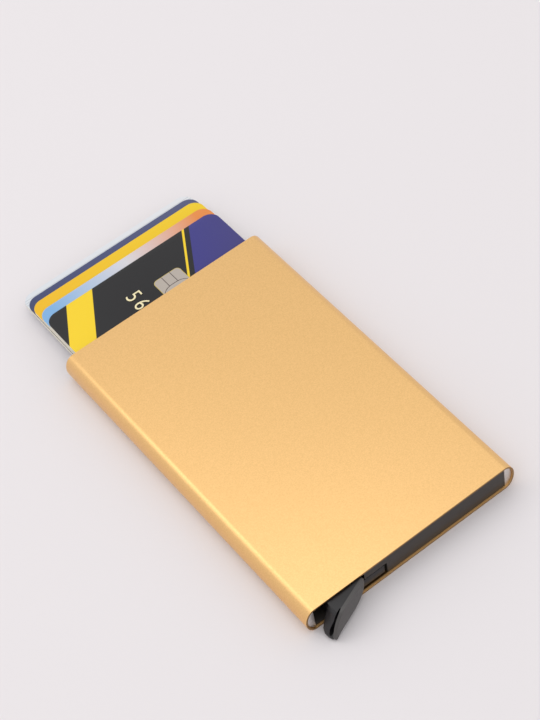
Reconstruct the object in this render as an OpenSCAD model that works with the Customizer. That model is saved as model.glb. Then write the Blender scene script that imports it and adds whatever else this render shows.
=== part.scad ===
/* [Sleeve] */
// Distance from a card's edge to the sleeve's outer side
side_room = 4.01; // [3.4:0.01:5]
// Length that the sleeve has beyond a card, for the lever
bay_l = 13.4; // [12:0.1:16]
// Thickness of the drawn aluminium wall
wall = 0.5; // [0.4:0.05:0.7]
// How far each rounded side stands out from the flat plates
side_bulge = 2.7; // [2.5:0.1:3.2]

/* [Cards] */
// Width of a card
card_w = 53.98; // [52:0.5:54.5]
// Height of a card
card_h = 85.6; // [84:0.2:86]
// Thickness of a card
card_t = 0.76; // [0.7:0.02:0.78]
// Corner radius of a card
card_corner_r = 3.18; // [2:0.2:5]
// Free space between neighbouring cards
card_gap = 0.04; // [0.02:0.01:0.06]
// Free space between the top card and the upper plate
card_top_gap = 0.54; // [0.4:0.02:0.7]
// How far the pushed-in cards lie inside the mouth
tuck = 0.5; // [0.3:0.1:0.8]

/* [Chip] */
// Width of the contact plate
chip_w = 8.3; // [8:0.1:12]
// Height of the contact plate
chip_h = 11.2; // [9:0.2:13]
// Thickness of the contact plate
chip_t = 0.3; // [0.2:0.05:0.4]
// Corner radius of the contact plate
chip_corner_r = 1.3; // [0.8:0.1:2]
// Distance from the card's left edge to the plate's near side
chip_in = 27.6; // [20:0.1:35]
// Distance from the card's top edge to the plate's top side
chip_down = 9.5; // [8:0.1:20]
// How far the plate stands proud of the card
chip_proud = 0.03; // [0:0.01:0.05]

/* [End insert] */
// Depth of the insert's face below the sleeve's edge
face_recess = 0.5; // [0.2:0.1:1]
// Thickness of the face
face_t = 1.5; // [1:0.1:1.7]
// Thickness of the floor that carries the pivot
floor_t = 0.6; // [0.4:0.05:0.7]
// Free space between the insert and the sleeve
insert_fit = 0.05; // [0.02:0.01:0.1]
// Width of the opening that the thumb lever swings in
fin_slot_w = 15.4; // [14:0.2:17]
// Width of the lower slot that the lever's skirt fills
skirt_slot_w = 21.2; // [20:0.2:23]
// Width of the block that closes the end beyond the lever's arm
stop_w = 4.9; // [4:0.1:8]
// Free space between moving and fixed pieces
run_gap = 0.15; // [0.1:0.01:0.2]

/* [Side rails] */
// Width of a rail at its thickest, from the sleeve's wall to its flat
rail_w = 2.1; // [1.9:0.1:2.4]
// Depth of a rail's ends below the sleeve's edges
rail_recess = 0.4; // [0.2:0.1:0.6]
// Free space between a rail and the sleeve
rail_fit = 0.03; // [0.02:0.01:0.08]

/* [Lever] */
// Distance from the sleeve's left side to the pivot
pivot_in_x = 8.7; // [8.4:0.1:9]
// Distance from the lever end to the pivot
pivot_in_y = 5; // [4.8:0.1:5.4]
// Angle that the lever swings through
lever_swing = 44; // [40:1:48]
// Radius of the hub
hub_r = 3.2; // [2.8:0.1:3.4]
// Radius of the rounded nose of each step
nose_r = 1.2; // [0.8:0.1:1.6]
// Free space between a nose and the card that it has pushed out
push_gap = 0.3; // [0.2:0.05:0.5]
// Height by which each step stays below its card's upper face
step_drop = 0.2; // [0.15:0.01:0.3]
// Height of the skirt's lower edge above the insert's floor
skirt_lift = 0.5; // [0.3:0.1:1]
// Height of the skirt in its slot
skirt_h = 2.6; // [2:0.1:2.8]
// Free width beside the skirt's end, which shows as a dark notch
notch_w = 0.8; // [0.6:0.1:1]

/* [Thumb pad] */
// Length of the thumb pad
pad_len = 13.8; // [12:0.2:15]
// Distance from the pad's inner end to the end of its opening
pad_room = 1.9; // [1.6:0.1:2.4]
// Distance of the pad's inner end in front of the sleeve
pad_start_out = 0.3; // [0.2:0.1:0.6]
// Angle between the pad and the sleeve's end
pad_slope = 21.7; // [19:0.5:23]
// Thickness of the pad at its ends
pad_t = 0.65; // [0.5:0.05:0.9]
// How far the pad's outer face swells in the middle
pad_swell = 0.3; // [0.2:0.05:0.5]
// Height of the pad's lowest point above the sleeve's outer face
foot_rise = 0.5; // [0.3:0.1:0.8]
// Step from the pad's upper edge down to the fin behind it
seam_step = 0.2; // [0.1:0.05:0.4]
// Depth of the fin behind the pad
fin_depth = 3.2; // [2.8:0.1:3.4]
// Angle by which the fin's free end leans back
fin_lean = 21; // [15:1:25]

/* [Pivot pin] */
// Radius of the pin
pin_r = 1.25; // [1:0.05:1.5]
// Radial clearance between the pin and the lever's bore
pin_fit = 0.05; // [0.02:0.01:0.09]
// Radius of the pin's head
head_r = 2.3; // [1.9:0.1:2.5]
// Thickness of the pin's head
head_t = 0.4; // [0.3:0.05:0.45]

/* [Grip pads] */
// Height of a grip pad
grip_h = 2.2; // [1.2:0.1:3]
// Width of a grip pad
grip_w = 10; // [6:1:14]
// Length of a grip pad
grip_l = 30; // [20:1:34]
// Distance from a grip pad to the mouth
grip_in = 4; // [2:0.5:8]
// Distance from a card's edge to the middle of a grip pad
grip_from_edge = 10; // [8:0.5:16]
// Free space between a grip pad and the lowest card
grip_gap = 0.3; // [0.2:0.05:0.5]

/* [Hidden] */

// Steps of a quarter turn in the rounded outlines
quarter_steps = 10;
// Overrun of a cut past the face that it opens
cut = 0.5;

// The sleeve fits round the cards, the grip pads under them and the lever's bay
sleeve_w = card_w + 2 * side_room;
sleeve_l = card_h + bay_l;
sleeve_t = 2 * wall + grip_h + grip_gap + 5 * card_t + 4 * card_gap + card_top_gap;

// Faces of the sleeve's plates and walls, with the origin at the middle of the lower plate
left_x = -sleeve_w / 2;
right_x = sleeve_w / 2;
end_y = -sleeve_l / 2;
mouth_y = sleeve_l / 2;
plate_low = wall;
plate_high = sleeve_t - wall;

// Heights of the cards, from the top one down
card_pitch = card_t + card_gap;
function card_top(i) = plate_high - card_top_gap - (i - 1) * card_pitch;

// Flats of the rails
rail_left_x = left_x + wall + rail_w;
rail_right_x = right_x - wall - rail_w;

// Faces of the insert
insert_left = rail_left_x + insert_fit;
insert_right = rail_right_x - insert_fit;
face_y = end_y + face_recess;
face_back = face_y + face_t;
floor_low = plate_low + insert_fit;
floor_high = floor_low + floor_t;
insert_high = plate_high - insert_fit;
home_foot = mouth_y - tuck - card_h;
insert_back = home_foot - 2 * run_gap;
slot_end = insert_left + fin_slot_w + run_gap;
skirt_slot_end = insert_left + skirt_slot_w;

// The pivot and the stepped arm: at home its longest step lies just short of the pushed-in
// cards and of the stop block
pivot = [left_x + pivot_in_x, end_y + pivot_in_y];
arm_low = floor_high + 2 * run_gap;
stop_left = insert_right - stop_w;
arm_home = [stop_left - push_gap - run_gap - nose_r, home_foot - push_gap - run_gap - nose_r] - pivot;
arm_angle = atan2(arm_home[1], arm_home[0]);
// Length of each step as a share of the longest, from the top card's step down
step_share = [0.637, 0.739, 0.854, 0.93, 1];
function arm_len(i) = norm(arm_home) * step_share[i - 1];
function nose_at(i) = pivot + arm_len(i) * [cos(arm_angle), sin(arm_angle)];
function step_top(i) = card_top(i) - step_drop;
hub_top = step_top(1);

// Each card's lower edge stands where its step has pushed it
function card_foot(i) =
    pivot[1] + arm_len(i) * sin(arm_angle + lever_swing) + nose_r + push_gap;

// The skirt and the fin behind the thumb pad
skirt_low = floor_high + skirt_lift;
skirt_top = skirt_low + skirt_h;
skirt_end_x = skirt_slot_end - notch_w;
skirt_reach = norm([skirt_end_x - pivot[0], face_y - pivot[1]]);
skirt_from = atan2(face_y - pivot[1], skirt_end_x - pivot[0]);
skirt_turn = 12;
fin_low = floor_high + run_gap;
fin_high = plate_high - run_gap;
leaf_h = fin_high - foot_rise;
web_high = fin_high - seam_step;
web_h = web_high - foot_rise;
pad_back = pad_t / 2;
pad_start = [slot_end - pad_room, end_y - pad_start_out];
fin_sweep = norm(pad_start - pivot) + pad_back + run_gap;

// Outlines as shares of the pad's length and height: the pad and the fin behind it from the
// front, the fin from above with its second share counted back, and the groove between them
// from the side
leaf_share = [
    [0, 0.98], [0, 0.72], [0.035, 0.49], [0.088, 0.36], [0.155, 0.285], [0.245, 0.235],
    [0.4, 0.205], [0.6, 0.19], [0.75, 0.165], [0.86, 0.115], [0.93, 0.045], [0.965, 0],
    [0.985, 0.02], [0.998, 0.09], [1, 0.18], [0.985, 0.29], [0.965, 0.38], [0.92, 0.565],
    [0.865, 0.71], [0.785, 0.85], [0.735, 0.925], [0.69, 0.975], [0.64, 1], [0.03, 1],
];
fin_side_share = [
    [0.02, 0.1], [0.7, 0.1], [0.78, 0.03], [0.86, 0], [1.02, 0], [1.045, 0.03], [1.055, 0.08],
    [1.045, 0.14], [1.01, 0.28], [0.985, 0.4], [0.945, 0.53], [0.895, 0.68], [0.85, 0.9],
    [0.79, 1], [0.73, 1.1], [0.02, 1.1],
];
fin_plan_share = [
    [0.88, 1], [0.93, 0.98], [0.968, 0.8], [0.995, 0.55], [1.005, 0.3], [1, 0.1], [0.985, 0],
    [0.06, 0], [0.3, 0.45], [0.7, 1],
];
groove_share = [
    [-0.1, 1.1], [0.07, 1.1], [0.2, 0.68], [0.36, 0.38], [0.34, 0.23], [0.2, 0.13], [-0.1, 0.13],
];
// Where the fin's foot and the groove begin
foot_from_share = 0.68;
groove_from_share = 0.66;
foot_from = foot_from_share * pad_len;
groove_from = groove_from_share * pad_len;
// Overlap of the web that joins the fin to the hub
web_lap = 0.5;

// Points of a curve round a centre
function arc_points(at, rx, ry, from, to, steps) =
    [for (k = [0:steps]) let (a = from + (to - from) * k / steps) at + [rx * cos(a), ry * sin(a)]];

// Outline of the sleeve inside a margin from its outer face
function sleeve_outline(margin) = let (
        rx = side_bulge - margin, ry = sleeve_t / 2 - margin,
        cx = sleeve_w / 2 - side_bulge, cy = sleeve_t / 2, n = 2 * quarter_steps)
    concat(arc_points([cx, cy], rx, ry, -90, 90, n), arc_points([-cx, cy], rx, ry, 90, 270, n));

// Outline of a rounded rectangle from its low corner
function card_outline(w, h, r) = concat(
    arc_points([w - r, r], r, r, -90, 0, quarter_steps),
    arc_points([w - r, h - r], r, r, 0, 90, quarter_steps),
    arc_points([r, h - r], r, r, 90, 180, quarter_steps),
    arc_points([r, r], r, r, 180, 270, quarter_steps));

// Outline of a bar that narrows from one round end to the other
function bar_outline(a, ra, b, rb) = let (
        d = norm(b - a), turn = atan2(b[1] - a[1], b[0] - a[0]), lean = acos((ra - rb) / d))
    concat(arc_points(a, ra, ra, turn + lean, turn + 360 - lean, 3 * quarter_steps),
           arc_points(b, rb, rb, turn - lean, turn + lean, quarter_steps));

// A prism along Y of an outline in X and Z
module along_y(from, to) {
    translate([0, to, 0]) rotate([90, 0, 0]) linear_extrude(height = to - from) children();
}

// A prism along Z of an outline in X and Y
module along_z(from, to) {
    translate([0, 0, from]) linear_extrude(height = to - from) children();
}

// A block given by its low and high corners
module block(low, high) {
    translate(low) cube(high - low);
}

// Children placed with X along the thumb pad, Y out of its face and Z up
module on_pad() {
    translate([pad_start[0], pad_start[1], 0]) rotate([0, 0, pad_slope - 180]) children();
}

module sleeve() {
    color([0.92, 0.71, 0.38]) difference() {
        along_y(end_y, mouth_y) polygon(sleeve_outline(0));
        along_y(end_y - cut, mouth_y + cut) polygon(sleeve_outline(wall));
    }
}

// A D-shaped strip that fills the rounded side and guides the cards' edges
module side_rail(low_x, high_x) {
    color([0.76, 0.76, 0.77]) intersection() {
        along_y(end_y + rail_recess, mouth_y - rail_recess) polygon(sleeve_outline(wall + rail_fit));
        block([low_x, end_y, 0], [high_x, mouth_y, sleeve_t]);
    }
}

module side_rail_left() { side_rail(left_x, rail_left_x); }

module side_rail_right() { side_rail(rail_right_x, right_x); }

// The moulded end: face, floor with the pivot's bore, and a block at each side
module end_insert() {
    cheek_right = pivot[0] - hub_r - 2 * run_gap;
    cheek_front = pivot[1] - hub_r / 2;
    color([0.12, 0.11, 0.11]) difference() {
        intersection() {
            along_y(end_y, mouth_y) polygon(sleeve_outline(wall + insert_fit));
            union() {
                block([insert_left, face_y, floor_low], [insert_right, insert_back, floor_high]);
                block([insert_left, face_y, floor_low], [insert_right, face_back, insert_high]);
                block([insert_left, cheek_front, floor_low], [cheek_right, insert_back, insert_high]);
                block([stop_left, face_y, floor_low], [insert_right, insert_back, insert_high]);
                translate([pivot[0], pivot[1], floor_low])
                    cylinder(h = floor_t + run_gap, r = pin_r + floor_t, $fn = 64);
            }
        }
        // The opening of the fin, rounded to its sweep
        intersection() {
            block([insert_left - cut, face_y - cut, floor_high],
                  [slot_end, face_back, insert_high + cut]);
            translate([pivot[0], pivot[1], floor_high])
                cylinder(h = insert_high + cut - floor_high, r = fin_sweep, $fn = 128);
        }
        // The slot of the skirt
        block([slot_end - 3 * cut, face_y - cut, floor_low - cut],
              [skirt_slot_end, face_back + cut, skirt_top + run_gap]);
        translate([pivot[0], pivot[1], floor_low - cut])
            cylinder(h = floor_t + run_gap + 2 * cut, r = pin_r, $fn = 64);
    }
}

// The headed pin that the lever turns on
module pivot_pin() {
    color([0.75, 0.76, 0.78]) translate([pivot[0], pivot[1], 0]) {
        translate([0, 0, floor_low]) cylinder(h = hub_top + run_gap - floor_low, r = pin_r, $fn = 64);
        translate([0, 0, hub_top + run_gap / 2]) cylinder(h = head_t, r = head_r, $fn = 64);
    }
}

// A foam strip under the cards, which holds them where they are put
module grip_pad(middle_x) {
    color([0.2, 0.2, 0.2])
        block([middle_x - grip_w / 2, mouth_y - grip_in - grip_l, plate_low],
              [middle_x + grip_w / 2, mouth_y - grip_in, plate_low + grip_h]);
}

module grip_pad_left() { grip_pad(grip_from_edge - card_w / 2); }

module grip_pad_right() { grip_pad(card_w / 2 - grip_from_edge); }

// The fin behind the thumb pad, which flares towards its foot and has a groove along the pad
module fin() {
    on_pad() difference() {
        intersection() {
            along_z(0, fin_high)
                polygon([for (p = fin_plan_share) [p[0] * pad_len, -pad_back - p[1] * fin_depth]]);
            translate([pad_len, 0, 0]) rotate([0, 0, -fin_lean]) translate([-pad_len, 0, 0])
                along_y(-2 * fin_depth, fin_depth)
                    polygon([for (p = fin_side_share) [p[0] * pad_len, foot_rise + p[1] * web_h]]);
        }
        // Room for the insert's floor under the part that swings in
        block([-cut, -2 * fin_depth, 0], [foot_from, cut, fin_low]);
        rotate([0, 0, 90]) along_y(-pad_len - cut, -groove_from)
            polygon([for (p = groove_share) [-pad_back - p[0] * fin_depth, foot_rise + p[1] * web_h]]);
    }
}

// The stepped lever: one step for each card, the hub, the skirt and the fin
module push_lever() {
    web_left = pad_start[0] - foot_from * cos(pad_slope) - (pad_back + fin_depth) * sin(pad_slope);
    color([0.13, 0.12, 0.12]) difference() {
        union() {
            for (i = [1:5])
                along_z(i == 5 ? arm_low : step_top(i + 1), step_top(i))
                    polygon(bar_outline(pivot, hub_r, nose_at(i), nose_r));
            along_z(skirt_low, skirt_top)
                polygon(concat([pivot, [pivot[0], face_y]],
                    arc_points(pivot, skirt_reach, skirt_reach,
                               skirt_from, skirt_from + skirt_turn, quarter_steps)));
            along_z(arm_low, fin_high)
                polygon([[web_left, pad_start[1] - web_lap],
                         [pad_start[0] - web_lap, pad_start[1]],
                         [pad_start[0] - web_lap / 2, face_y],
                         [pivot[0] + hub_r, pivot[1] - head_r - run_gap],
                         [web_left, pivot[1] - head_r - run_gap]]);
            fin();
        }
        translate([pivot[0], pivot[1], arm_low - cut])
            cylinder(h = fin_high - arm_low + 2 * cut, r = pin_r + pin_fit, $fn = 64);
        // The flat top of the fin and its web
        block([left_x, end_y - pad_len, web_high], [right_x, mouth_y, sleeve_t]);
        // The seat of the thumb pad
        on_pad() block([-cut, -pad_back, 0], [pad_len + cut, fin_depth, sleeve_t]);
    }
}

// The leaf-shaped pad that the thumb pushes
module thumb_pad() {
    chord = pad_len / 2;
    bow_r = (chord * chord + pad_swell * pad_swell) / (2 * pad_swell);
    bow = asin(chord / bow_r);
    color([0.15, 0.14, 0.14]) on_pad() intersection() {
        along_z(0, sleeve_t)
            polygon(concat([[pad_len, -pad_back], [0, -pad_back]],
                arc_points([chord, pad_back + pad_swell - bow_r], bow_r, bow_r,
                           90 + bow, 90 - bow, 2 * quarter_steps)));
        along_y(-pad_t, pad_t + pad_swell)
            polygon([for (p = leaf_share) [p[0] * pad_len, foot_rise + p[1] * leaf_h]]);
    }
}

// A plain card, numbered from the top of the stack down
module card(i, tint) {
    color(tint) translate([-card_w / 2, card_foot(i), 0])
        along_z(card_top(i) - card_t, card_top(i))
            polygon(card_outline(card_w, card_h, card_corner_r));
}

// The chip's contact plate, or the pocket for it
module chip(extra) {
    translate([chip_in - card_w / 2, card_foot(1) + card_h - chip_down - chip_h, 0])
        along_z(card_top(1) - chip_t, card_top(1) + extra)
            polygon(card_outline(chip_w, chip_h, chip_corner_r));
}

module card_1() {
    difference() {
        card(1, [0.07, 0.06, 0.08]);
        chip(cut);
    }
}

module card_1_chip() { color([0.78, 0.76, 0.72]) chip(chip_proud); }

module card_2() { card(2, [0.45, 0.66, 0.88]); }

module card_3() { card(3, [0.95, 0.76, 0.1]); }

module card_4() { card(4, [0.1, 0.14, 0.38]); }

module card_5() { card(5, [0.8, 0.84, 0.84]); }

sleeve();
end_insert();
side_rail_left();
side_rail_right();
pivot_pin();
grip_pad_left();
grip_pad_right();
push_lever();
thumb_pad();
card_1();
card_1_chip();
card_2();
card_3();
card_4();
card_5();
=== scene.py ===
import math

import bmesh
import bpy
from mathutils import Matrix, Vector


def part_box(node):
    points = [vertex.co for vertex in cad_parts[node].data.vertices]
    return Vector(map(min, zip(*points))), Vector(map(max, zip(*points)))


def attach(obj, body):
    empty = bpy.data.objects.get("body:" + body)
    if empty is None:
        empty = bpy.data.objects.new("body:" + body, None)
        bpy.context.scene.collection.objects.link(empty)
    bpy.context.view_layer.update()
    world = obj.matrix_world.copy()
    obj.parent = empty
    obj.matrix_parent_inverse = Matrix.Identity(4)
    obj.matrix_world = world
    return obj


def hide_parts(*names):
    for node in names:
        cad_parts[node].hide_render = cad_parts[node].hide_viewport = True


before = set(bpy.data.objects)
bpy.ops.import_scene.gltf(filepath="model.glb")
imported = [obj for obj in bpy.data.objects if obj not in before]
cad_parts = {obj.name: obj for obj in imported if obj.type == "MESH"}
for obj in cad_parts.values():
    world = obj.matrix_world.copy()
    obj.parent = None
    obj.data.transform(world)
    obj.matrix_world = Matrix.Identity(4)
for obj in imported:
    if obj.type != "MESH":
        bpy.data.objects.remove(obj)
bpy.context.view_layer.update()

MM = 0.001

# The photograph's camera, fitted to the sleeve's edges and the top card's edges
CAMERA_MM = (-136.41, -257.67, 391.78)
CAMERA_AZIMUTH, CAMERA_ELEVATION, CAMERA_ROLL = -27.927, 51.324, -11.963
LENS_MM, SENSOR_MM = 99.73, 36.0

# The sleeve's drawn section, as in the CAD, and the rounding that blasting gives its cut ends
WALL_MM = 0.5
BULGE_MM = 2.7
CUT_EDGE_MM = 0.06
# Painted shade in the bore: dark brown from this far in from each cut end, fading in over this length
BORE_PAINTED_SHADE_FROM_MM = 0.45
BORE_PAINTED_SHADE_FADE_MM = 0.2

# The cards: corner radius, eased edge, and the ink's dark line in one card's cut edge
CARD_CORNER_MM = 3.18
CARD_EDGE_MM = 0.06
INK_LINE_MM = 0.3

# The contact plate: its corners, gold rim, grooves, and where the two arcs and four cuts run
CHIP_CORNER_MM = 1.3
CHIP_RIM_MM = 0.16
CHIP_GROOVE_MM = 0.2
CHIP_CUT_SHARES = (0.34, 0.655)
CHIP_ARC_MM = 3.95
CHIP_ARC_DROP_MM = 1.8
CHIP_PAD_RISE_MM = 0.02

# The slanted bands printed on the top card, and the fine lines along the lowest card's top edge
BAND_SLANT_DEG = 30
LINE_FIRST_MM, LINE_PITCH_MM, LINE_WIDE_MM = 1.5, 0.8, 0.15

# The row of plain digits, read with the card's left long side down
DIGITS = "5678 9012 3456 7890"
DIGIT_HIGH_MM = 4.4
DIGIT_PITCH_MM = 3.63
DIGIT_FROM_TOP_MM = 8.05
DIGIT_FROM_LEFT_MM = 19.5
DIGIT_RELIEF_MM = 0.22
DIGIT_THINNED_MM = 0.1
DIGIT_NARROWED = 0.88

# The thumb pad's outer face runs this far round from straight across
PAD_SLOPE_DEG = 21.7


def ink(code):
    """A linear RGBA colour from an sRGB hex value."""
    parts = [int(code[i:i + 2], 16) / 255 for i in (1, 3, 5)]
    return [c / 12.92 if c <= 0.04045 else ((c + 0.055) / 1.055) ** 2.4 for c in parts] + [1.0]


def add(tree, kind, values=None, **settings):
    """Adds a node, sets its properties, and sets or links its inputs by name or number."""
    node = tree.nodes.new(kind)
    for name, value in settings.items():
        setattr(node, name, value)
    for key, value in (values or {}).items():
        if isinstance(value, bpy.types.NodeSocket):
            tree.links.new(value, node.inputs[key])
        else:
            node.inputs[key].default_value = value
    return node


# Finishes

def new_finish(name):
    """A material with an empty tree, and its Object coordinates in millimetres."""
    finish = bpy.data.materials.new(name)
    finish.use_nodes = True
    tree = finish.node_tree
    tree.nodes.clear()
    where = add(tree, "ShaderNodeTexCoord").outputs["Object"]
    mm = add(tree, "ShaderNodeVectorMath", {0: where, "Scale": 1 / MM}, operation="SCALE")
    return finish, tree, mm.outputs[0]


def end_finish(tree, shader, height, depth_mm):
    """Gives the shader a bump of a pattern's height, and sends it to the output."""
    bump = add(tree, "ShaderNodeBump", {"Height": height, "Distance": depth_mm * MM})
    tree.links.new(bump.outputs[0], shader.inputs["Normal"])
    add(tree, "ShaderNodeOutputMaterial", {"Surface": shader.outputs[0]})


def gold(name, dark, light, roughness, scored=(1.0, 1.0, 1.0), painted_shade_within_mm=None):
    """Aluminium dyed gold in the anodising bath: a soft metallic sheen, scored where it is sawn. The dark
    brown deeper in the bore is painted shade, a guess from the dark gap that shows at the lever end."""
    finish, tree, mm = new_finish(name)
    # The blasted grain is about 0.05 mm, which the render can't show, so it is drawn at 0.3 mm
    lines = add(tree, "ShaderNodeMapping", {"Vector": mm, "Scale": scored})
    speck = add(tree, "ShaderNodeTexNoise", {"Vector": lines.outputs[0], "Scale": 1 / 0.3, "Detail": 3.0})
    tint = add(tree, "ShaderNodeMapRange", {"Value": speck.outputs[0], "From Min": 0.3, "From Max": 0.7})
    colour = add(tree, "ShaderNodeMix", {"Factor": tint.outputs[0], "A": ink(dark), "B": ink(light)},
                 data_type="RGBA").outputs["Result"]
    # Painted shade: within this distance of the middle, deeper in than near the cut ends, the colour turns
    # dark brown
    if painted_shade_within_mm:
        y = add(tree, "ShaderNodeSeparateXYZ", {0: mm}).outputs["Y"]
        from_middle = add(tree, "ShaderNodeMath", {0: y}, operation="ABSOLUTE").outputs[0]
        deep = add(tree, "ShaderNodeMapRange", {"Value": from_middle, "From Min": painted_shade_within_mm,
                                                "From Max": painted_shade_within_mm - BORE_PAINTED_SHADE_FADE_MM}).outputs[0]
        colour = add(tree, "ShaderNodeMix", {"Factor": deep, "A": colour, "B": ink("#5c452a")},
                     data_type="RGBA").outputs["Result"]
    shader = add(tree, "ShaderNodeBsdfPrincipled",
                 {"Base Color": colour, "Metallic": 1.0, "Roughness": roughness})
    grain = add(tree, "ShaderNodeTexNoise", {"Vector": lines.outputs[0], "Scale": 1 / 0.22, "Detail": 2.0})
    end_finish(tree, shader, grain.outputs[0], 0.004)
    return finish


def moulded(name, colour, roughness, stretch=1.0):
    """Injection-moulded black ABS: spark-eroded texture, uneven gloss, and rubbed streaks if stretched."""
    finish, tree, mm = new_finish(name)
    turned = add(tree, "ShaderNodeMapping",
                 {"Vector": mm, "Rotation": (0.0, 0.0, math.radians(PAD_SLOPE_DEG)),
                  "Scale": (stretch, 1.0, 1.0)}, vector_type="TEXTURE")
    cloud = add(tree, "ShaderNodeTexNoise", {"Vector": turned.outputs[0], "Scale": 1 / 2.5, "Detail": 4.0})
    dull = add(tree, "ShaderNodeMapRange",
               {"Value": cloud.outputs[0], "To Min": roughness - 0.06, "To Max": roughness + 0.06})
    body = ink(colour)
    shade = add(tree, "ShaderNodeMix",
                {"Factor": cloud.outputs[0], "A": [c * 0.75 for c in body[:3]] + [1.0],
                 "B": [c * 1.25 for c in body[:3]] + [1.0]}, data_type="RGBA").outputs["Result"]
    shader = add(tree, "ShaderNodeBsdfPrincipled",
                 {"Base Color": shade, "Roughness": dull.outputs[0], "IOR": 1.5})
    grain = add(tree, "ShaderNodeTexNoise", {"Vector": mm, "Scale": 1 / 0.25, "Detail": 2.0})
    end_finish(tree, shader, grain.outputs[0], 0.012)
    return finish


def drawn_aluminium():
    """A drawn aluminium strip, sawn off and left bare: satin grey with fine lines along its length."""
    finish, tree, mm = new_finish("drawn_bare_aluminium")
    lines = add(tree, "ShaderNodeMapping", {"Vector": mm, "Scale": (10.0, 0.3, 10.0)})
    drawn = add(tree, "ShaderNodeTexNoise", {"Vector": lines.outputs[0], "Scale": 1 / 1.5, "Detail": 2.0})
    colour = add(tree, "ShaderNodeMix",
                 {"Factor": drawn.outputs[0], "A": ink("#cdc7c3"), "B": ink("#dbd5d1")},
                 data_type="RGBA").outputs["Result"]
    shader = add(tree, "ShaderNodeBsdfPrincipled",
                 {"Base Color": colour, "Metallic": 1.0, "Roughness": 0.4})
    end_finish(tree, shader, drawn.outputs[0], 0.006)
    return finish


def turned_steel():
    """Free-cutting steel, turned: fine rings round the pin, bright on the head."""
    finish, tree, mm = new_finish("turned_steel")
    low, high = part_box("pivot_pin")
    middle = [-(low[k] + high[k]) / 2 / MM for k in (0, 1)] + [0.0]
    centred = add(tree, "ShaderNodeMapping", {"Vector": mm, "Location": middle})
    rings = add(tree, "ShaderNodeTexWave", {"Vector": centred.outputs[0], "Scale": 1 / 0.35},
                wave_type="RINGS", rings_direction="Z").outputs["Fac"]
    colour = add(tree, "ShaderNodeMix", {"Factor": rings, "A": ink("#c4c6ca"), "B": ink("#dcdde0")},
                 data_type="RGBA").outputs["Result"]
    shader = add(tree, "ShaderNodeBsdfPrincipled",
                 {"Base Color": colour, "Metallic": 1.0, "Roughness": 0.28})
    end_finish(tree, shader, rings, 0.004)
    return finish


def foam():
    """Closed-cell polyurethane foam, skived: matt black with open cut cells."""
    finish, tree, mm = new_finish("closed_cell_foam")
    cells = add(tree, "ShaderNodeTexVoronoi", {"Vector": mm, "Scale": 1 / 0.4}).outputs["Distance"]
    colour = add(tree, "ShaderNodeMix", {"Factor": cells, "A": ink("#26262a"), "B": ink("#0f0f11")},
                 data_type="RGBA").outputs["Result"]
    shader = add(tree, "ShaderNodeBsdfPrincipled", {"Base Color": colour, "Roughness": 0.95})
    end_finish(tree, shader, cells, 0.08)
    return finish


def strip(tree, spot, angle, start, end, soft=0.1):
    """1 between two parallel lines on a card, placed in mm along a direction, and 0 outside them."""
    way = (math.cos(math.radians(angle)), math.sin(math.radians(angle)), 0.0)
    along = add(tree, "ShaderNodeVectorMath", {0: spot, 1: way}, operation="DOT_PRODUCT").outputs["Value"]
    rise = add(tree, "ShaderNodeMapRange",
               {"Value": along, "From Min": start - soft / 2, "From Max": start + soft / 2})
    fall = add(tree, "ShaderNodeMapRange",
               {"Value": along, "From Min": end - soft / 2, "From Max": end + soft / 2,
                "To Min": 1.0, "To Max": 0.0})
    within = add(tree, "ShaderNodeMath", {0: rise.outputs[0], 1: fall.outputs[0]}, operation="MULTIPLY")
    return within.outputs[0]


def overprint(tree, colour, areas, over):
    """A colour with another printed over it where all of some strips meet."""
    share = areas[0]
    for area in areas[1:]:
        share = add(tree, "ShaderNodeMath", {0: share, 1: area}, operation="MULTIPLY").outputs[0]
    printed = add(tree, "ShaderNodeMix", {"Factor": share, "A": colour, "B": over}, data_type="RGBA")
    return printed.outputs["Result"]


def shaded_along(tree, spot, stops, length, slant=0.0):
    """A colour that changes across the card, through stops of (mm, hex)."""
    way = (math.cos(math.radians(slant)), math.sin(math.radians(slant)), 0.0)
    along = add(tree, "ShaderNodeVectorMath", {0: spot, 1: way}, operation="DOT_PRODUCT").outputs["Value"]
    share = add(tree, "ShaderNodeMath", {0: along, 1: length}, operation="DIVIDE").outputs[0]
    ramp = add(tree, "ShaderNodeValToRGB", {"Fac": share})
    band = ramp.color_ramp
    band.elements[0].position, band.elements[0].color = stops[0][0] / length, ink(stops[0][1])
    band.elements[1].position, band.elements[1].color = stops[-1][0] / length, ink(stops[-1][1])
    for place_mm, code in stops[1:-1]:
        band.elements.new(place_mm / length).color = ink(code)
    return ramp.outputs["Color"]


def new_card_face(node, name):
    """A printed card's material tree, with the place on the card in mm from its top left corner."""
    finish, tree, mm = new_finish(name)
    low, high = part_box(node)
    shifted = add(tree, "ShaderNodeVectorMath", {0: mm, 1: (low.x / MM, high.y / MM, 0.0)},
                  operation="SUBTRACT")
    spot = add(tree, "ShaderNodeVectorMath", {0: shifted.outputs[0], 1: (1.0, -1.0, 0.0)},
               operation="MULTIPLY")
    return finish, tree, mm, spot.outputs[0]


def end_card_face(tree, mm, colour, roughness=0.3):
    """Offset print under a clear PVC film: even gloss with a faint orange peel."""
    shader = add(tree, "ShaderNodeBsdfPrincipled",
                 {"Base Color": colour, "Roughness": roughness, "IOR": 1.45})
    peel = add(tree, "ShaderNodeTexNoise", {"Vector": mm, "Scale": 1 / 0.8, "Detail": 2.0})
    end_finish(tree, shader, peel.outputs[0], 0.003)


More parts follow.
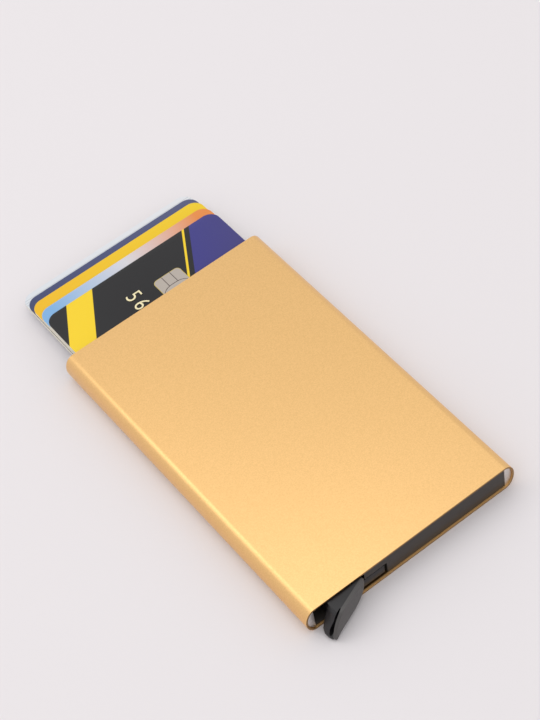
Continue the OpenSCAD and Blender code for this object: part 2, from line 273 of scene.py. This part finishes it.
def black_card():
    """Plain slanted bands on black: a yellow one at the left, and blue from the right side down."""
    finish, tree, mm, spot = new_card_face("card_1", "printed_pvc_black")
    flecks = add(tree, "ShaderNodeTexNoise", {"Vector": mm, "Scale": 1 / 0.5, "Detail": 2.0})
    colour = add(tree, "ShaderNodeMix",
                 {"Factor": flecks.outputs[0], "A": ink("#0c0b0e"), "B": ink("#141216")},
                 data_type="RGBA").outputs["Result"]
    field = shaded_along(tree, spot, [(40, "#33307f"), (90, "#463d52")], 100, BAND_SLANT_DEG)
    for start, end, over in ((6, 13, ink("#efcb18")), (38, 38.6, ink("#efcb18")), (40, 100, field)):
        colour = overprint(tree, colour, [strip(tree, spot, BAND_SLANT_DEG, start, end)], over)
    end_card_face(tree, mm, colour)
    return finish


def sky_card():
    """A plain fade from sky blue to orange."""
    finish, tree, mm, spot = new_card_face("card_2", "printed_pvc_sky_to_orange")
    colour = shaded_along(tree, spot, [(4, "#7aaad8"), (27, "#cfcdd2"), (50, "#df863c")], 54)
    end_card_face(tree, mm, colour)
    return finish


def yellow_card():
    """A plain yellow that warms a little to one side."""
    finish, tree, mm, spot = new_card_face("card_3", "printed_pvc_yellow")
    colour = shaded_along(tree, spot, [(0, "#e8b408"), (54, "#e8c408")], 54)
    end_card_face(tree, mm, colour)
    return finish


def navy_card():
    """A plain dark blue that lightens a little to one side."""
    finish, tree, mm, spot = new_card_face("card_4", "printed_pvc_dark_blue")
    colour = shaded_along(tree, spot, [(0, "#383f68"), (54, "#4a4f74")], 54)
    end_card_face(tree, mm, colour)
    return finish


def silver_card():
    """Pale silver with evenly spaced fine lines along its top edge."""
    finish, tree, mm, spot = new_card_face("card_5", "printed_pvc_pale_silver")
    colour = shaded_along(tree, spot, [(0, "#d4d8de"), (54, "#dadbdf")], 54)
    for count in range(3):
        start = LINE_FIRST_MM + count * LINE_PITCH_MM
        colour = overprint(tree, colour, [strip(tree, spot, 90, start, start + LINE_WIDE_MM)], ink("#b4bcc0"))
    end_card_face(tree, mm, colour)
    return finish


def card_core(name, colour, dark_from_mm=None):
    """The cut edge of white PVC sheets pressed together, with the print's ink as a dark line."""
    finish, tree, mm = new_finish(name)
    shade = ink(colour)
    if dark_from_mm is not None:
        z = add(tree, "ShaderNodeSeparateXYZ", {0: mm}).outputs["Z"]
        above = add(tree, "ShaderNodeMath", {0: z, 1: dark_from_mm}, operation="GREATER_THAN").outputs[0]
        shade = overprint(tree, shade, [above], ink("#1b1c22"))
    shader = add(tree, "ShaderNodeBsdfPrincipled", {"Base Color": shade, "Roughness": 0.5, "IOR": 1.53})
    fibre = add(tree, "ShaderNodeTexNoise", {"Vector": mm, "Scale": 1 / 0.3, "Detail": 2.0})
    end_finish(tree, shader, fibre.outputs[0], 0.006)
    return finish


def plated(name, colour, roughness, metallic=1.0):
    """Contacts of gold or palladium over nickel: a soft, fine-rolled sheen."""
    finish, tree, mm = new_finish(name)
    lines = add(tree, "ShaderNodeMapping", {"Vector": mm, "Scale": (1.0, 12.0, 1.0)})
    rolled = add(tree, "ShaderNodeTexNoise",
                 {"Vector": lines.outputs[0], "Scale": 1 / 0.8, "Detail": 2.0}).outputs[0]
    body = ink(colour)
    shade = add(tree, "ShaderNodeMix",
                {"Factor": rolled, "A": [c * 0.93 for c in body[:3]] + [1.0], "B": body},
                data_type="RGBA").outputs["Result"]
    shader = add(tree, "ShaderNodeBsdfPrincipled",
                 {"Base Color": shade, "Metallic": metallic, "Roughness": roughness})
    end_finish(tree, shader, rolled, 0.002)
    return finish


# Meshes

def plain_piece(name, source, finish):
    """A plain mesh object of what the source shows, all in one finish."""
    bpy.context.view_layer.update()
    seen = source.evaluated_get(bpy.context.evaluated_depsgraph_get())
    mesh = bpy.data.meshes.new_from_object(seen)
    piece = bpy.data.objects.new(name, mesh)
    bpy.context.scene.collection.objects.link(piece)
    bpy.data.objects.remove(source)
    mesh.name = name
    mesh.materials.clear()
    mesh.materials.append(finish)
    for polygon in mesh.polygons:
        polygon.material_index = 0
    return piece


def repaint(piece, finish, wanted):
    """Gives the finish to the wanted faces."""
    piece.data.materials.append(finish)
    for polygon in piece.data.polygons:
        if wanted(polygon):
            polygon.material_index = len(piece.data.materials) - 1


def joined(name, pieces):
    """One object of several plain pieces, each in its own finish."""
    bm = bmesh.new()
    finishes = []
    for piece in pieces:
        finish = piece.data.materials[0]
        if finish not in finishes:
            finishes.append(finish)
        for polygon in piece.data.polygons:
            polygon.material_index = finishes.index(finish)
        bm.from_mesh(piece.data)
        bpy.data.objects.remove(piece)
    mesh = bpy.data.meshes.new(name)
    bm.to_mesh(mesh)
    bm.free()
    for finish in finishes:
        mesh.materials.append(finish)
    whole = bpy.data.objects.new(name, mesh)
    bpy.context.scene.collection.objects.link(whole)
    smooth(whole)
    return whole


def place(piece, body, node):
    """The piece rides on the body and stands for the node."""
    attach(piece, body)
    if node:
        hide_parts(node)


def ease(source, edge_mm, segments):
    """Rounds an object's sharp edges, as a moulding, a blanked sheet or a turned part has them."""
    modifier = source.modifiers.new("ease", "BEVEL")
    modifier.width = edge_mm * MM
    modifier.segments = segments
    modifier.limit_method = "ANGLE"
    modifier.angle_limit = math.radians(28)


def smooth(piece, sharp_deg=32):
    piece.data.shade_smooth()
    piece.data.set_sharp_from_angle(angle=math.radians(sharp_deg))


def eased_copy(node, name, edge_mm, finish, segments=3):
    """A CAD node's own shape with its sharp edges eased."""
    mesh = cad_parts[node].data.copy()
    bm = bmesh.new()
    bm.from_mesh(mesh)
    bmesh.ops.remove_doubles(bm, verts=bm.verts, dist=1e-6)
    bmesh.ops.dissolve_limit(bm, angle_limit=math.radians(0.6), verts=bm.verts, edges=bm.edges)
    bm.to_mesh(mesh)
    bm.free()
    source = bpy.data.objects.new(name + "_source", mesh)
    bpy.context.scene.collection.objects.link(source)
    ease(source, edge_mm, segments)
    piece = plain_piece(name, source, finish)
    smooth(piece)
    return piece


def new_tree(name, sizes, vectors=()):
    """A Geometry Nodes tree with named lengths, named places and a material as inputs."""
    tree = bpy.data.node_groups.new(name, "GeometryNodeTree")
    for size in sizes:
        tree.interface.new_socket(size, in_out="INPUT", socket_type="NodeSocketFloat")
    for vector in vectors:
        tree.interface.new_socket(vector, in_out="INPUT", socket_type="NodeSocketVector")
    tree.interface.new_socket("Material", in_out="INPUT", socket_type="NodeSocketMaterial")
    tree.interface.new_socket("Geometry", in_out="OUTPUT", socket_type="NodeSocketGeometry")
    return tree, add(tree, "NodeGroupInput").outputs


def end_tree(tree, given, shape):
    """Merges and realises the shape, and gives it its material."""
    whole = add(tree, "GeometryNodeMergeByDistance", {"Geometry": shape, "Distance": 1e-6})
    real = add(tree, "GeometryNodeRealizeInstances", {"Geometry": whole.outputs[0]})
    painted = add(tree, "GeometryNodeSetMaterial",
                  {"Geometry": real.outputs[0], "Material": given["Material"]})
    add(tree, "NodeGroupOutput", {"Geometry": painted.outputs[0]})


def grow(name, tree, sizes, finish, edge_mm=0.0, segments=2):
    """The plain mesh that a tree makes from its sizes, with its edges eased where they are sharp."""
    source = bpy.data.objects.new(name + "_source", bpy.data.meshes.new(name + "_source"))
    bpy.context.scene.collection.objects.link(source)
    maker = source.modifiers.new("maker", "NODES")
    maker.node_group = tree
    for socket in tree.interface.items_tree:
        if socket.in_out == "INPUT" and socket.socket_type == "NodeSocketMaterial":
            maker[socket.identifier] = finish
        elif socket.in_out == "INPUT":
            maker[socket.identifier] = sizes[socket.name]
    if edge_mm:
        ease(source, edge_mm, segments)
    piece = plain_piece(name, source, finish)
    smooth(piece)
    return piece


def drawn_tube_tree():
    """A tube of flattened oval section: the wall's own section, swept once round."""
    tree, size = new_tree("drawn_tube", ["Width", "Height", "Length", "Bulge", "Wall", "Edge"])
    half_wall = add(tree, "ShaderNodeMath", {0: size["Wall"], 1: 2.0}, operation="DIVIDE").outputs[0]
    half_high = add(tree, "ShaderNodeMath", {0: size["Height"], 1: 2.0}, operation="DIVIDE").outputs[0]
    half_wide = add(tree, "ShaderNodeMath", {0: size["Width"], 1: 2.0}, operation="DIVIDE").outputs[0]
    round_r = add(tree, "ShaderNodeMath", {0: half_high, 1: half_wall}, operation="SUBTRACT").outputs[0]
    side_r = add(tree, "ShaderNodeMath", {0: size["Bulge"], 1: half_wall}, operation="SUBTRACT").outputs[0]
    flat = add(tree, "ShaderNodeMath", {0: half_wide, 1: size["Bulge"]}, operation="SUBTRACT").outputs[0]
    half_loop = add(tree, "ShaderNodeMath", {0: flat, 1: round_r}, operation="ADD").outputs[0]
    loop_wide = add(tree, "ShaderNodeMath", {0: half_loop, 1: 2.0}, operation="MULTIPLY").outputs[0]
    loop_high = add(tree, "ShaderNodeMath", {0: round_r, 1: 2.0}, operation="MULTIPLY").outputs[0]
    fillet_r = add(tree, "ShaderNodeMath", {0: round_r, 1: 0.9999}, operation="MULTIPLY").outputs[0]
    loop = add(tree, "GeometryNodeCurvePrimitiveQuadrilateral",
               {"Width": loop_wide, "Height": loop_high}, mode="RECTANGLE")
    loop = add(tree, "GeometryNodeFilletCurve",
               {"Curve": loop.outputs[0], "Radius": fillet_r, "Count": 24, "Limit Radius": True}, mode="POLY")
    # The ends are squeezed from half circles to the drawn section's flatter sides
    here = add(tree, "GeometryNodeInputPosition").outputs[0]
    x, y, _ = add(tree, "ShaderNodeSeparateXYZ", {0: here}).outputs
    flat_back = add(tree, "ShaderNodeMath", {0: flat, 1: -1.0}, operation="MULTIPLY").outputs[0]
    inside = add(tree, "ShaderNodeClamp", {"Value": x, "Min": flat_back, "Max": flat}).outputs[0]
    squeeze = add(tree, "ShaderNodeMath", {0: side_r, 1: round_r}, operation="DIVIDE").outputs[0]
    past = add(tree, "ShaderNodeMath", {0: x, 1: inside}, operation="SUBTRACT").outputs[0]
    squeezed = add(tree, "ShaderNodeMath", {0: past, 1: squeeze, 2: inside}, operation="MULTIPLY_ADD")
    raised = add(tree, "ShaderNodeMath", {0: y, 1: half_high}, operation="ADD")
    spot = add(tree, "ShaderNodeCombineXYZ", {"X": squeezed.outputs[0], "Z": raised.outputs[0]})
    loop = add(tree, "GeometryNodeSetPosition",
               {"Geometry": loop.outputs[0], "Position": spot.outputs[0]})
    section = add(tree, "GeometryNodeCurvePrimitiveQuadrilateral",
                  {"Width": size["Length"], "Height": size["Wall"]}, mode="RECTANGLE")
    section = add(tree, "GeometryNodeFilletCurve",
                  {"Curve": section.outputs[0], "Radius": size["Edge"], "Count": 3}, mode="POLY")
    tube = add(tree, "GeometryNodeCurveToMesh",
               {"Curve": loop.outputs[0], "Profile Curve": section.outputs[0]})
    end_tree(tree, size, tube.outputs[0])
    return tree


def blank_tree():
    """A card or plate blank: a rounded rectangle with a thickness, placed by the middle of its underside."""
    tree, size = new_tree("blank", ["Width", "Height", "Thickness", "Corner"], ["Middle"])
    loop = add(tree, "GeometryNodeCurvePrimitiveQuadrilateral",
               {"Width": size["Width"], "Height": size["Height"]}, mode="RECTANGLE")
    loop = add(tree, "GeometryNodeFilletCurve",
               {"Curve": loop.outputs[0], "Radius": size["Corner"], "Count": 12}, mode="POLY")
    face = add(tree, "GeometryNodeFillCurve", {"Curve": loop.outputs[0]}, mode="NGONS")
    raised = add(tree, "GeometryNodeExtrudeMesh",
                 {"Mesh": face.outputs[0], "Offset Scale": size["Thickness"], "Individual": False})
    under = add(tree, "GeometryNodeFlipFaces", {"Mesh": face.outputs[0]})
    blank = add(tree, "GeometryNodeJoinGeometry")
    tree.links.new(raised.outputs[0], blank.inputs[0])
    tree.links.new(under.outputs[0], blank.inputs[0])
    moved = add(tree, "GeometryNodeTransform",
                {"Geometry": blank.outputs[0], "Translation": size["Middle"]})
    end_tree(tree, size, moved.outputs[0])
    return tree


# Pieces

def make_sleeve():
    low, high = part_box("sleeve")
    sizes = {"Width": high.x - low.x, "Height": high.z - low.z, "Length": high.y - low.y,
             "Bulge": BULGE_MM * MM, "Wall": WALL_MM * MM, "Edge": CUT_EDGE_MM * MM}
    sleeve = grow("drawn_sleeve", drawn_tube_tree(), sizes,
                  gold("bead_blasted_gold_anodised_aluminium", "#e8bb7c", "#f4c788", 0.38))
    axis = Vector((0.0, 0.0, (low.z + high.z) / 2))
    # Painted shade: the bore's faces take a darker gold than the outside, and dark brown deeper in
    bore = gold("gold_anodised_bore_with_painted_shade", "#d8ab70", "#e4b87c", 0.45,
                painted_shade_within_mm=high.y / MM - BORE_PAINTED_SHADE_FROM_MM)
    repaint(sleeve, bore,
            lambda face: face.normal.dot((face.center - axis) * Vector((1.0, 0.0, 1.0))) < 0)
    # The sawn ends are scored, and their darker brown is painted shade
    repaint(sleeve, gold("sawn_gold_anodised_edge_with_painted_shade", "#8f6f49", "#b08a5c", 0.5, (0.4, 1.0, 8.0)),
            lambda face: abs(face.normal.y) > 0.5)
    place(sleeve, "holder", "sleeve")


def make_mouldings():
    closed_end = moulded("spark_textured_black_abs", "#2f2a27", 0.5)
    lever = moulded("smooth_black_abs", "#120f12", 0.4)
    # The thumb pad's lighter grey is painted sheen; its streaks along the pad are rubbed wear
    rubbed_and_sheen = moulded("thumb_rubbed_black_abs_with_painted_sheen", "#444140", 0.42, 8.0)
    drawn = drawn_aluminium()
    for node, name, body, finish, slot, edge_mm in (
            ("end_insert", "end_insert_moulding", "holder", closed_end, "moulded_black", 0.08),
            ("push_lever", "push_lever_moulding", "lever", lever, "moulded_black", 0.1),
            ("thumb_pad", "thumb_pad_moulding", "lever", rubbed_and_sheen, "moulded_black", 0.15),
            ("side_rail_left", "side_rail_left_strip", "holder", drawn, "rail_aluminium", 0.1),
            ("side_rail_right", "side_rail_right_strip", "holder", drawn, "rail_aluminium", 0.1),
            ("pivot_pin", "headed_pin", "holder", turned_steel(), "pin_steel", 0.08),
            ("grip_pad_left", "foam_strip_left", "holder", foam(), "grip_foam", 0.2),
            ("grip_pad_right", "foam_strip_right", "holder", foam(), "grip_foam", 0.2)):
        place(eased_copy(node, name, edge_mm, finish), body, node)


def make_cards():
    tree = blank_tree()
    pale = card_core("pressed_pvc_core", "#dcd6c6")
    low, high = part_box("card_4")
    inked = card_core("pressed_pvc_core_inked", "#dcd6c6", high.z / MM - INK_LINE_MM)
    for number, face, core, slot in ((1, black_card(), pale, "card_black"), (2, sky_card(), pale, "card_sky"),
                                     (3, yellow_card(), pale, "card_yellow"),
                                     (4, navy_card(), inked, "card_navy"),
                                     (5, silver_card(), pale, "card_clear")):
        node = "card_%d" % number
        low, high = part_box(node)
        size = high - low
        sizes = {"Width": size.x, "Height": size.y, "Thickness": size.z, "Corner": CARD_CORNER_MM * MM,
                 "Middle": ((low.x + high.x) / 2, (low.y + high.y) / 2, low.z)}
        card = grow("printed_card_%d" % number, tree, sizes, face, CARD_EDGE_MM)
        repaint(card, core, lambda face: abs(face.normal.z) < 0.5)
        place(card, node, node)


def contact_pad(finish, outline, bottom, top):
    """One flat pad of a contact plate, from its outline in m."""
    bm = bmesh.new()
    face = bm.faces.new([bm.verts.new((x, y, bottom)) for x, y in outline])
    raised = bmesh.ops.extrude_face_region(bm, geom=[face])["geom"]
    for vert in raised:
        if isinstance(vert, bmesh.types.BMVert):
            vert.co.z = top
    bmesh.ops.recalc_face_normals(bm, faces=bm.faces)
    mesh = bpy.data.meshes.new("contact_pad")
    bm.to_mesh(mesh)
    bm.free()
    mesh.materials.append(finish)
    pad = bpy.data.objects.new("contact_pad", mesh)
    bpy.context.scene.collection.objects.link(pad)
    return pad


def make_chip():
    """A contact plate: gold rim, dark grooves, and seven pads that two arcs and four cuts divide."""
    low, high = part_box("card_1_chip")
    wide, long = (high.x - low.x) / MM, (high.y - low.y) / MM
    half = CHIP_GROOVE_MM / 2
    corner = CHIP_CORNER_MM - CHIP_RIM_MM

    def arc(x):
        """How far down the upper arc runs: flat in the middle, and steeper towards both sides."""
        return CHIP_ARC_MM + CHIP_ARC_DROP_MM * abs(2 * x / wide - 1) ** 3

    def upper(x):
        """The plate's upper side inside the rim, with its rounded corners."""
        past = max(0.0, corner + CHIP_RIM_MM - min(x, wide - x))
        return CHIP_RIM_MM + corner - math.sqrt(max(0.0, corner * corner - past * past))

    cuts = [CHIP_RIM_MM] + [share * wide for share in CHIP_CUT_SHARES] + [wide - CHIP_RIM_MM]
    silver = plated("palladium_plated_contacts", "#bfb5ac", 0.35)
    pieces = []
    for column in range(3):
        start = cuts[column] + (half if column else 0.0)
        end = cuts[column + 1] - (half if column < 2 else 0.0)
        xs = [start + (end - start) * (0.5 - 0.5 * math.cos(math.pi * k / 20)) for k in range(21)]
        pad = [(x, upper(x)) for x in xs] + [(x, arc(x) - half) for x in reversed(xs)]
        for mirrored in (False, True):
            outline = [(low.x + x * MM, (low.y + y * MM) if mirrored else (high.y - y * MM))
                       for x, y in pad]
            pieces.append(contact_pad(silver, outline, (low.z + high.z) / 2, high.z))
    xs = [CHIP_RIM_MM + (wide - 2 * CHIP_RIM_MM) * k / 20 for k in range(21)]
    pad = [(x, arc(x) + half) for x in xs] + [(x, long - arc(x) - half) for x in reversed(xs)]
    pieces.append(contact_pad(silver, [(low.x + x * MM, high.y - y * MM) for x, y in pad],
                              (low.z + high.z) / 2, high.z))
    tree = blank_tree()
    for name, finish, inset_mm, rise_mm in (
            ("contact_rim", plated("gold_plated_rim", "#c9b36a", 0.35), 0.0, CHIP_PAD_RISE_MM),
            ("contact_grooves", plated("etched_grooves", "#4a3c3a", 0.6, 0.0), CHIP_RIM_MM,
             CHIP_PAD_RISE_MM * 0.7)):
        sizes = {"Width": (wide - 2 * inset_mm) * MM, "Height": (long - 2 * inset_mm) * MM,
                 "Thickness": high.z - low.z - rise_mm * MM, "Corner": (CHIP_CORNER_MM - inset_mm) * MM,
                 "Middle": ((low.x + high.x) / 2, (low.y + high.y) / 2, low.z)}
        pieces.append(grow(name, tree, sizes, finish))
    place(joined("contact_plate", pieces), "card_1", "card_1_chip")


def make_digits():
    """Raised digits with gold foil on their tops, in a row that runs from the card's top edge down."""
    low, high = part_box("card_1")
    foil = plated("gold_tipping_foil", "#f8ecc0", 0.35, 0.6)
    pieces = []
    for count, letter in enumerate(DIGITS):
        if letter == " ":
            continue
        text = bpy.data.curves.new("digit", "FONT")
        text.body = letter
        text.size = DIGIT_HIGH_MM * MM / 0.7
        text.align_x = "CENTER"
        text.offset = -DIGIT_THINNED_MM * MM
        text.extrude = DIGIT_RELIEF_MM * MM / 2
        text.bevel_depth = 0.06 * MM
        text.bevel_resolution = 1
        text.resolution_u = 4
        source = bpy.data.objects.new("digit", text)
        bpy.context.scene.collection.objects.link(source)
        digit = plain_piece("digit", source, foil)
        middle = (low.x + DIGIT_FROM_LEFT_MM * MM,
                  high.y - (DIGIT_FROM_TOP_MM + DIGIT_PITCH_MM * (count + 0.5)) * MM, high.z)
        digit.data.transform(Matrix.Translation(middle) @ Matrix.Rotation(math.radians(-90), 4, "Z")
                             @ Matrix.Diagonal((DIGIT_NARROWED, 1.0, 1.0, 1.0)))
        pieces.append(digit)
    place(joined("raised_digits", pieces), "card_1", None)


# Stage, light and camera

def softbox(name, azimuth, elevation, distance_mm, size_mm, power):
    """A square area light that faces the origin from an azimuth (0 is +Y, 90 is -X) and an elevation."""
    a, e = math.radians(azimuth), math.radians(elevation)
    back = Vector((-math.sin(a) * math.cos(e), math.cos(a) * math.cos(e), math.sin(e)))
    light = bpy.data.lights.new(name, "AREA")
    light.shape = "SQUARE"
    light.size = size_mm * MM
    light.energy = power
    lamp = bpy.data.objects.new(name, light)
    bpy.context.scene.collection.objects.link(lamp)
    lamp.location = back * distance_mm * MM
    lamp.rotation_euler = back.to_track_quat("Z", "Y").to_euler()


def make_stage():
    bm = bmesh.new()
    bmesh.ops.create_grid(bm, x_segments=8, y_segments=8, size=1.5)
    mesh = bpy.data.meshes.new("paper_sweep")
    bm.to_mesh(mesh)
    bm.free()
    floor = bpy.data.objects.new("paper_sweep", mesh)
    bpy.context.scene.collection.objects.link(floor)
    floor.location.z = -0.02 * MM
    paper, tree, mm = new_finish("matt_white_paper")
    shader = add(tree, "ShaderNodeBsdfPrincipled", {"Base Color": ink("#e2dddf"), "Roughness": 0.9})
    tooth = add(tree, "ShaderNodeTexNoise", {"Vector": mm, "Scale": 1 / 0.6, "Detail": 2.0})
    end_finish(tree, shader, tooth.outputs[0], 0.01)
    mesh.materials.append(paper)
    world = bpy.data.worlds.new("studio")
    bpy.context.scene.world = world
    world.use_nodes = True
    background = world.node_tree.nodes["Background"]
    background.inputs["Color"].default_value = ink("#ffffff")
    background.inputs["Strength"].default_value = 0.87
    softbox("overhead_softbox", 0, 90, 1100, 700, 1.5)
    softbox("back_softbox", 15, 58, 1100, 700, 0.6)
    softbox("left_softbox", 45, 50, 1100, 700, 1.3)


def make_camera():
    camera = bpy.data.cameras.new("camera")
    camera.lens = LENS_MM
    camera.sensor_width = SENSOR_MM
    camera.clip_start = 0.01
    eye = bpy.data.objects.new("camera", camera)
    bpy.context.scene.collection.objects.link(eye)
    turn = (Matrix.Rotation(math.radians(CAMERA_AZIMUTH), 4, "Z")
            @ Matrix.Rotation(math.radians(90 - CAMERA_ELEVATION), 4, "X")
            @ Matrix.Rotation(math.radians(CAMERA_ROLL), 4, "Z"))
    eye.matrix_world = Matrix.Translation(Vector(CAMERA_MM) * MM) @ turn
    bpy.context.scene.camera = eye
    bpy.context.scene.view_settings.view_transform = "Standard"


make_camera()
make_stage()
make_sleeve()
make_mouldings()
make_cards()
make_chip()
make_digits()
